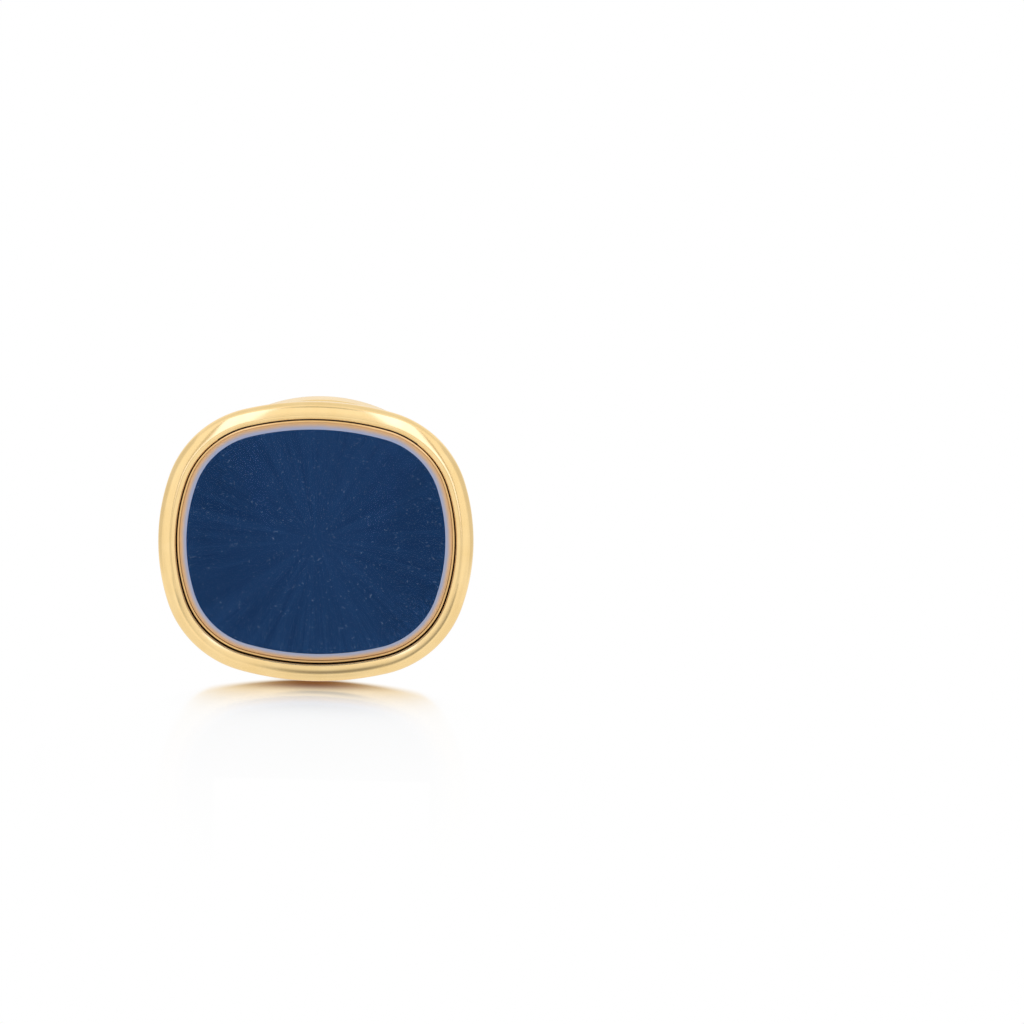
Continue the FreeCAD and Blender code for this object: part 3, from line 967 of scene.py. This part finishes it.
class CUFFLINK_OT_hinge_plate(bpy.types.Operator):
    """Make the oval back's front plate with its two hinge lugs"""

    bl_idname = "cufflink.hinge_plate"
    bl_label = "Hinge Plate"

    def execute(self, context):
        plan = Plan(context.scene)
        soft = plan.edge_softness
        edge = plan.shell_wall + plan.fit_clearance
        levels = [(edge + soft, plan.oval_front), (edge, plan.oval_front + soft), (edge, plan.plate_back)]
        mesh = plan.oval.sweep("hinge_plate", levels, closed=False)
        low = (-plan.window_half, plan.oval_front - soft, -plan.lug_inner)
        high = (plan.window_half, plan.plate_back + soft, plan.lug_inner)
        mesh = combine(mesh, block("window", low, high), "DIFFERENCE")
        for side in (1, -1):
            mesh = combine(mesh, self.lug(plan, side), "UNION")
        bore = hinge_bore(plan, plan.pin_radius + plan.fit_clearance, 2 * plan.lug_outer)
        mesh = combine(mesh, bore, "DIFFERENCE")
        rivet_hole = plan.rivet_radius + plan.fit_clearance
        ends = [circle(rivet_hole, depth) for depth in (plan.oval_front - soft, plan.plate_back + soft)]
        for side in (1, -1):
            shift = Vector((side * plan.rivet_place, 0, 0))
            hole = [[point + shift for point in end] for end in ends]
            mesh = combine(mesh, skin("rivet_hole", hole, closed=False), "DIFFERENCE")
        place_piece(plan, "lugged_plate", mesh, [polished_gold], "oval_back", "hinge_plate")
        return {"FINISHED"}

    def lug(self, plan, side):
        """One lug, round at its free end, let into the plate."""
        tip = plan.hinge_depth - plan.lug_radius
        foot = plan.plate_back - plan.plate_thickness / 2
        profile = rounded([
            (plan.lug_radius, foot, 0),
            (-plan.lug_radius, foot, 0),
            (-plan.lug_radius, tip, plan.lug_radius),
            (plan.lug_radius, tip, plan.lug_radius),
        ])
        heights = (side * plan.lug_inner, side * plan.lug_outer)
        return softened(prism("lug", profile, heights), plan.edge_softness)


class CUFFLINK_OT_oval_shell(bpy.types.Operator):
    """Make the hollow rounded shell of the oval back"""

    bl_idname = "cufflink.oval_shell"
    bl_label = "Oval Shell"

    def execute(self, context):
        plan = Plan(context.scene)
        soft = plan.edge_softness
        chamfer = plan.oval_front_chamfer
        section = rounded(
            [
                (plan.oval_back_radius + soft, plan.oval_back, 0),
                (0, plan.oval_back, plan.oval_back_radius),
                (0, plan.oval_front + chamfer, 2 * soft),
                (chamfer, plan.oval_front, soft),
                (plan.shell_wall, plan.oval_front, soft),
                (plan.shell_wall, plan.plate_back, 0),
            ],
            closed=False,
        )
        mesh = plan.oval.sweep("oval_shell", section, closed=False)
        half_length = plan.spring_length / 2 + plan.pocket_clearance
        half_width = plan.spring_width / 2 + plan.pocket_clearance
        low = (-half_length, plan.plate_back - soft, -half_width)
        high = (half_length, plan.oval_back - plan.shell_floor, half_width)
        mesh = combine(mesh, block("pocket", low, high), "DIFFERENCE")
        place_piece(plan, "rounded_shell", mesh, [polished_gold], "oval_back", "oval_shell")
        return {"FINISHED"}


class CUFFLINK_OT_hinge_pin(bpy.types.Operator):
    """Make the turned hinge pin with its softly domed ends"""

    bl_idname = "cufflink.hinge_pin"
    bl_label = "Hinge Pin"

    def execute(self, context):
        plan = Plan(context.scene)
        end = plan.lug_outer + plan.pin_head
        flat = plan.pin_radius - plan.pin_head
        section = rounded(
            [
                (flat / 2, -end, 0),
                (plan.pin_radius, -end, plan.pin_head),
                (plan.pin_radius, end, plan.pin_head),
                (flat / 2, end, 0),
            ],
            closed=False,
        )
        loops = [upright_circle(spot.x, spot.y, plan.hinge_depth) for spot in section]
        mesh = skin("hinge_pin", loops, closed=False)
        place_piece(plan, "turned_pin", mesh, [plated_pin], "oval_back", "hinge_pin")
        return {"FINISHED"}


class CUFFLINK_OT_spring(bpy.types.Operator):
    """Finish the leaf spring and its rivets in rolled steel"""

    bl_idname = "cufflink.spring"
    bl_label = "Leaf Spring and Rivets"

    def execute(self, context):
        for name in ("leaf_spring", "spring_rivets"):
            mesh = frame["nodes"][name].data
            for index in range(len(mesh.materials)):
                mesh.materials[index] = kept(rolled_steel)
        return {"FINISHED"}


# Stage


class CUFFLINK_OT_stage(bpy.types.Operator):
    """Make the pale floor, the soft light, the studio cards and the camera"""

    bl_idname = "cufflink.stage"
    bl_label = "Stage"

    # The light tent: levels, and soft edges in a heading of length 1
    front_gain = 0.07
    ahead_edge = (-0.25, -0.1)
    raised_edge = (-0.02, 0.08)
    behind_level = 0.88
    behind_edge = (0.0, 0.15)
    high_edge = (0.45, 0.62)
    seam_ahead = 0.38
    seam_depth = 0.60
    seam_edge = (0.05, 0.17)
    seam_end = (0.07, 0.18)
    overhead_edge = (0.6, 0.9)

    # The floor, in metres
    floor_half = 2.0
    floor_height = -0.00001
    floor_grain = 6.0
    floor_dim = 0.995
    floor_roughness = 0.12
    floor_mirror = 0.92
    floor_in_metal = 0.95
    metal_fade = 0.8
    foot_half = 0.004
    beside_squeeze = 0.35
    behind_squeeze = 6.0
    contact_edge = (0.0006, 0.00156)
    near_reach = 0.0024
    near_gain = 0.93
    far_reach = 0.007
    far_gain = 0.1
    arch_width = 0.0222
    arch_blur = 0.3
    least_blur = 0.0003
    arch_edge = (-1.0, 0.4)

    # The lamp, in metres
    lamp_side = 0.8
    lamp_height = 0.6

    # The cards: levels, and places, sizes and soft edges in metres
    panel_level = 1.03
    panel_ahead = 0.060
    panel_half = 0.070
    panel_height = 0.012
    side_level = 0.78
    side_apart = 0.016
    side_behind = 0.0045
    side_half = 0.0080
    side_height = 0.020
    side_edge = (0.004, 0.008)
    side_foot = (0.001, 0.006)
    box_level = 0.32
    box_mouth_loss = 0.05
    box_foot_share = 0.2
    box_right = 0.0008
    box_half = 0.006
    box_depth = 0.012
    box_height = 0.006
    box_gap = 0.0012
    box_edge = (0.0012, 0.0042)
    box_inner = 0.003
    box_foot = (-0.002, 0.005)
    faint_loss = 0.22
    faint_ahead = 0.005
    faint_height = 0.0045
    faint_middle = 0.002
    faint_foot = 0.001
    corner_gain = 0.75
    corner_tint = (0.88, 0.92, 1.25, 1.0)
    corner_right = 0.0003
    corner_ahead = 0.0045
    corner_half = 0.020
    corner_height = 0.040
    corner_outer = (-0.0010, 0.0204)  # from the middle, at the card's foot and at its top
    corner_outer_edge = (0.0, 0.0003)
    corner_inner = (0.0012, 0.0064)
    corner_inner_edge = (-0.0005, 0.0007)
    corner_foot = (0.0072, 0.0086)
    border_loss = 0.4
    border_tint = (1.0, 0.95, 0.80, 1.0)
    border_outside = 0.0005
    border_edge = (0.0003, 0.0007)

    def execute(self, context):
        scene = context.scene
        scene.view_settings.view_transform = "Standard"
        self.make_world(scene)
        self.make_floor(scene)
        self.make_lamp(scene)
        self.make_cards(scene)
        self.make_camera(scene)
        return {"FINISHED"}

    def make_world(self, scene):
        """White to the camera and in glass, and a light tent round polished metal."""
        world = bpy.data.worlds.new("studio")
        world.use_nodes = True
        scene.world = world
        nodes = Nodes(world.node_tree)
        path = nodes.add("ShaderNodeLightPath").outputs
        seen = nodes.larger(path["Is Camera Ray"], path["Is Transmission Ray"])
        plain = nodes.stretch(seen, 0.0, 1.0, scene.cufflink_stage.world_level, 1.0)
        share = nodes.times(path["Is Glossy Ray"], nodes.minus(1.0, seen))
        rest = nodes.times(plain, nodes.minus(1.0, share))
        strength = nodes.plus(rest, nodes.times(share, self.tent(nodes)))
        background = world.node_tree.nodes["Background"]
        nodes.feed(background, {"Color": (1.0, 1.0, 1.0, 1.0), "Strength": strength})

    def tent(self, nodes):
        """White ahead, dimmer behind, and a short seam overhead between the two."""
        axes = nodes.axes(nodes.add("ShaderNodeTexCoord").outputs["Generated"])
        behind = nodes.soft_step(axes["Y"], *self.behind_edge, 0.0, 1.0 - self.behind_level)
        high = nodes.soft_step(axes["Z"], *self.high_edge)
        ahead = nodes.soft_step(axes["Y"], *self.ahead_edge, self.front_gain, 0.0)
        raised = nodes.soft_step(axes["Z"], *self.raised_edge)
        walls = nodes.plus(nodes.minus(1.0, nodes.times(behind, high)), nodes.times(ahead, raised))
        from_seam = nodes.absolute(nodes.plus(axes["Y"], self.seam_ahead))
        seam = nodes.soft_step(from_seam, *self.seam_edge, self.seam_depth, 0.0)
        overhead = nodes.soft_step(axes["Z"], *self.overhead_edge)
        short = nodes.soft_step(nodes.absolute(axes["X"]), *self.seam_end, 1.0, 0.0)
        return nodes.minus(walls, nodes.times(seam, nodes.times(overhead, short)))

    def make_floor(self, scene):
        """A mirror with a shadow and a painted brown contact shadow where the bead stands on it, fading to
        plain white further off.
        """
        finish = scene.cufflink_finish
        contact, oval_foot = self.feet(Plan(scene))
        material, nodes, shader = new_material("pale_floor")
        spot = nodes.place()
        grain = nodes.noise(spot, self.floor_grain)
        white = nodes.mix(grain, opaque(finish.floor), opaque(finish.floor, self.floor_dim))
        axes = nodes.axes(nodes.vector("SUBTRACT", spot, (contact.x, contact.y, 0.0)))
        across = nodes.absolute(axes["X"])
        ahead = nodes.larger(nodes.times(axes["Y"], -1.0), 0.0)
        behind = nodes.times(nodes.larger(axes["Y"], 0.0), self.behind_squeeze)
        along = nodes.plus(ahead, behind)
        beside = nodes.times(nodes.minus(across, self.foot_half), self.beside_squeeze)
        from_bead = nodes.distance(nodes.larger(beside, 0.0), along)
        from_oval = nodes.distance(across, nodes.minus(axes["Y"], oval_foot))
        near = nodes.times(nodes.bell(from_bead, self.near_reach), self.near_gain)
        far = nodes.math("EXPONENT", nodes.over(from_bead, -self.far_reach))
        under_bead = self.under_bead(nodes, across, ahead)
        mirrored = nodes.times(nodes.plus(near, nodes.times(far, self.far_gain)), under_bead)
        mirrored = nodes.larger(mirrored, nodes.bell(from_oval, self.near_reach))
        path = nodes.add("ShaderNodeLightPath").outputs
        fade = nodes.larger(nodes.minus(1.0, mirrored), nodes.times(path["Is Glossy Ray"], self.metal_fade))
        # Painted shadow: near the bead's foot the floor's colour turns dark brown for the camera.
        close = nodes.soft_step(along, *self.contact_edge, 1.0, 0.0)
        close = nodes.times(close, nodes.bell(across, self.foot_half))
        contact_shadow_paint = nodes.times(nodes.times(close, under_bead), path["Is Camera Ray"])
        nodes.feed(shader, {
            "Base Color": nodes.mix(contact_shadow_paint, white, opaque(finish.floor_contact)),
            "Roughness": self.floor_roughness,
            "Metallic": self.floor_mirror,
        })
        seen = nodes.larger(path["Is Camera Ray"], path["Is Glossy Ray"])
        seen = nodes.larger(seen, path["Is Transmission Ray"])
        paper_level = nodes.stretch(path["Is Camera Ray"], 0.0, 1.0, self.floor_in_metal, 1.0)
        paper = nodes.add("ShaderNodeEmission", {"Strength": paper_level})
        nodes.show_mix(nodes.times(fade, seen), shader, paper)
        half = self.floor_half
        corners = [(-half, -half), (half, -half), (half, half), (-half, half)]
        self.sheet(scene, "floor", [(x, y, self.floor_height) for x, y in corners], material)

    def feet(self, plan):
        """Where the bead stands on the floor, and how far behind that the oval back does."""
        low_bead = Vector((0.0, plan.bead_radius, plan.bead_radius - plan.face_height / 2))
        low_oval = Vector((0.0, plan.oval_back - plan.oval_back_radius, -plan.oval_height / 2))
        contact = plan.into_frame() @ (low_bead * MM)
        return contact, (plan.into_frame() @ (low_oval * MM)).y - contact.y

    def under_bead(self, nodes, across, ahead):
        """1 ahead of the arch that the bead's lower edge mirrors in the floor, and 0 behind it."""
        arch = nodes.over(nodes.math("POWER", across, 2.0), self.arch_width)
        blur = nodes.plus(nodes.times(arch, self.arch_blur), self.least_blur)
        return nodes.soft_step(nodes.over(nodes.minus(ahead, arch), blur), *self.arch_edge)

    def make_lamp(self, scene):
        """A soft light overhead that polished surfaces don't show."""
        light = bpy.data.lights.new("overhead", "AREA")
        light.shape = "SQUARE"
        light.size = self.lamp_side
        light.energy = scene.cufflink_stage.lamp_power
        lamp = bpy.data.objects.new("overhead", light)
        lamp.location = (0.0, 0.0, self.lamp_height)
        lamp.visible_glossy = False
        scene.collection.objects.link(lamp)

    def make_cards(self, scene):
        """Studio cards that only mirroring surfaces show."""
        front = cad_box[0][1]
        self.make_panel(scene, front)
        self.make_side_cards(scene, front)
        self.make_dark_box(scene, front)
        self.make_faint_card(scene, front)
        self.make_corner_light(scene, front)

    def make_panel(self, scene, front):
        """A wide bright panel, some way ahead."""
        material, nodes, glow = self.card_material("bright_panel")
        nodes.feed(glow, {"Strength": self.panel_level})
        place = (0.0, front - self.panel_ahead, 0.0)
        self.card(scene, "bright_panel", material, place, (self.panel_half, 0.0), self.panel_height)

    def make_side_cards(self, scene, front):
        """A card on each side that is grey in the middle."""
        material, nodes, glow = self.card_material("grey_card")
        axes = nodes.axes(nodes.place())
        middle = nodes.soft_step(nodes.absolute(axes["Y"]), *self.side_edge, 1.0 - self.side_level, 0.0)
        raised = nodes.soft_step(axes["Z"], *self.side_foot)
        nodes.feed(glow, {"Strength": nodes.minus(1.0, nodes.times(middle, raised))})
        half = (0.0, self.side_half)
        for side in (1, -1):
            place = (side * self.side_apart, front + self.side_behind, 0.0)
            self.card(scene, f"grey_card_{side + 1}", material, place, half, self.side_height)

    def make_dark_box(self, scene, front):
        """A low box close ahead, open towards the cufflink: dark inside and white on top."""
        material, nodes, glow = self.card_material("dark_box")
        axes = nodes.axes(nodes.place())
        middle = nodes.soft_step(nodes.absolute(axes["X"]), *self.box_edge, 1.0, 0.0)
        deep_loss = 1.0 - self.box_level
        inner = nodes.soft_step(axes["Y"], self.box_inner, self.box_depth, deep_loss, self.box_mouth_loss)
        raised = nodes.soft_step(axes["Z"], *self.box_foot, self.box_foot_share, 1.0)
        loss = nodes.times(nodes.times(inner, raised), middle)
        inside = nodes.add("ShaderNodeNewGeometry").outputs["Backfacing"]
        nodes.feed(glow, {"Strength": nodes.minus(1.0, nodes.times(loss, inside))})
        place = (self.box_right, front - self.box_depth, 0.0)
        half, reach = self.box_half, self.box_depth - self.box_gap
        self.card(scene, "dark_box_wall", material, place, (half, 0.0), self.box_height)
        corners = [(-half, 0.0), (half, 0.0), (half, reach), (-half, reach)]
        roof = self.sheet(scene, "dark_box_roof", [(x, y, self.box_height) for x, y in corners], material)
        self.for_mirrors_only(roof, place)

    def make_faint_card(self, scene, front):
        """A faintly grey card on top of the dark box."""
        material, nodes, glow = self.card_material("faint_card")
        axes = nodes.axes(nodes.place())
        across = nodes.absolute(axes["X"])
        middle = nodes.soft_step(across, self.faint_middle, self.box_half, self.faint_loss, 0.0)
        low = nodes.soft_step(axes["Z"], self.faint_foot, self.faint_height, 1.0, 0.0)
        nodes.feed(glow, {"Strength": nodes.minus(1.0, nodes.times(middle, low))})
        place = (self.box_right, front - self.faint_ahead, self.box_height)
        self.card(scene, "faint_card", material, place, (self.box_half, 0.0), self.faint_height)

    def make_corner_light(self, scene, front):
        """Two bright shapes with slanted edges and a thin dark border, for the bead's upper corners."""
        material, nodes, glow = self.card_material("corner_light")
        axes = nodes.axes(nodes.place())
        outer = nodes.stretch(axes["Z"], 0.0, self.corner_height, *self.corner_outer)
        inner = nodes.stretch(axes["Z"], 0.0, self.corner_height, *self.corner_inner)
        to_outer = nodes.minus(outer, nodes.absolute(axes["X"]))
        from_middle = nodes.absolute(nodes.plus(axes["X"], self.corner_right))
        past_inner = nodes.soft_step(nodes.minus(from_middle, inner), *self.corner_inner_edge)
        lit = nodes.times(past_inner, nodes.soft_step(to_outer, *self.corner_outer_edge))
        from_border = nodes.absolute(nodes.plus(to_outer, self.border_outside))
        border = nodes.soft_step(from_border, *self.border_edge, 1.0, 0.0)
        raised = nodes.soft_step(axes["Z"], *self.corner_foot)
        shown = nodes.times(nodes.larger(lit, border), raised)
        nodes.feed(glow, {
            "Strength": nodes.stretch(lit, 0.0, 1.0, 1.0 - self.border_loss, 1.0 + self.corner_gain),
            "Color": nodes.mix(lit, self.border_tint, self.corner_tint),
        })
        nodes.show_mix(shown, nodes.add("ShaderNodeBsdfTransparent"), glow)
        place = (self.corner_right, front - self.corner_ahead, 0.0)
        self.card(scene, "corner_light", material, place, (self.corner_half, 0.0), self.corner_height)

    def card_material(self, name):
        """A glowing material, as (material, nodes, glow)."""
        material, nodes, shader = new_material(name)
        glow = nodes.add("ShaderNodeEmission")
        nodes.show(glow)
        nodes.tree.nodes.remove(shader)
        return material, nodes, glow

    def card(self, scene, name, material, place, half, height):
        """An upright card whose foot has its middle at that place, reaching half its length each way."""
        ends = [(-half[0], -half[1]), (half[0], half[1])]
        low = [(x, y, 0.0) for x, y in ends]
        high = [(x, y, height) for x, y in reversed(ends)]
        self.for_mirrors_only(self.sheet(scene, name, low + high, material), place)

    def for_mirrors_only(self, card, place):
        """Sets a card in its place, where only mirroring surfaces show it."""
        card.location = place
        card.visible_camera = False
        card.visible_diffuse = False
        card.visible_transmission = False
        card.visible_shadow = False

    def sheet(self, scene, name, corners, material):
        """A flat piece of the stage with four corners."""
        mesh = bpy.data.meshes.new(name)
        mesh.from_pydata(corners, [], [(0, 1, 2, 3)])
        mesh.materials.append(material)
        made = bpy.data.objects.new(name, mesh)
        scene.collection.objects.link(made)
        return made

    def make_camera(self, scene):
        """The photograph's viewing angle, turned so that the middle of the head falls on its pixel."""
        settings = scene.cufflink_stage
        data = bpy.data.cameras.new("camera")
        sensor, image_size = 36.0, 1024.0
        data.sensor_width = sensor
        data.lens = settings.lens / MM
        pixels = data.lens / sensor * image_size
        plan = Plan(scene)
        target = plan.into_frame() @ Vector((0.0, plan.bead_radius * MM, 0.0))
        level_part = math.cos(settings.camera_elevation)
        back = Vector((
            math.sin(settings.camera_azimuth) * level_part,
            -math.cos(settings.camera_azimuth) * level_part,
            math.sin(settings.camera_elevation),
        ))
        right = (-back).cross(Vector((0.0, 0.0, 1.0))).normalized()
        up = back.cross(right)
        facing = Matrix((right, up, back)).transposed() @ Matrix.Rotation(settings.camera_roll, 3, "Z")
        half_image = image_size / 2
        aim = Vector(((settings.aim_x - half_image) / pixels, (half_image - settings.aim_y) / pixels, -1.0))
        turned = facing @ aim.normalized().rotation_difference(Vector((0.0, 0.0, -1.0))).to_matrix()
        camera = bpy.data.objects.new("camera", data)
        camera.matrix_world = Matrix.Translation(target + back * settings.camera_distance) @ turned.to_4x4()
        data.clip_start = 0.01
        scene.collection.objects.link(camera)
        scene.camera = camera


class CUFFLINK_PT_pieces(bpy.types.Panel):
    """Lists the pieces and the stage in the sidebar"""

    bl_idname = "CUFFLINK_PT_pieces"
    bl_label = "Cufflink"
    bl_space_type = "VIEW_3D"
    bl_region_type = "UI"
    bl_category = "Cufflink"

    def draw(self, context):
        for operator in OPERATORS:
            self.layout.operator(operator.bl_idname)
        for name in SETTINGS:
            box = self.layout.box()
            group = getattr(context.scene, name)
            for setting in type(group).__annotations__:
                box.prop(group, setting)


SETTINGS = {
    "cufflink_head": HeadSizes,
    "cufflink_post": PostSizes,
    "cufflink_oval": OvalSizes,
    "cufflink_finish": Finishes,
    "cufflink_stage": StageSettings,
}
OPERATORS = (
    CUFFLINK_OT_outer_frame,
    CUFFLINK_OT_crystal_setting,
    CUFFLINK_OT_crystal,
    CUFFLINK_OT_dial,
    CUFFLINK_OT_case_back,
    CUFFLINK_OT_post,
    CUFFLINK_OT_hinge_plate,
    CUFFLINK_OT_oval_shell,
    CUFFLINK_OT_hinge_pin,
    CUFFLINK_OT_spring,
    CUFFLINK_OT_stage,
)


def register():
    for group in SETTINGS.values():
        bpy.utils.register_class(group)
    for name, group in SETTINGS.items():
        setattr(bpy.types.Scene, name, bpy.props.PointerProperty(type=group))
    for operator in OPERATORS:
        bpy.utils.register_class(operator)
    bpy.utils.register_class(CUFFLINK_PT_pieces)


def unregister():
    bpy.utils.unregister_class(CUFFLINK_PT_pieces)
    for operator in reversed(OPERATORS):
        bpy.utils.unregister_class(operator)
    for name in SETTINGS:
        delattr(bpy.types.Scene, name)
    for group in reversed(SETTINGS.values()):
        bpy.utils.unregister_class(group)


def main():
    register()
    for operator in OPERATORS:
        group, name = operator.bl_idname.split(".")
        getattr(getattr(bpy.ops, group), name)()


if __name__ == "__main__":
    main()
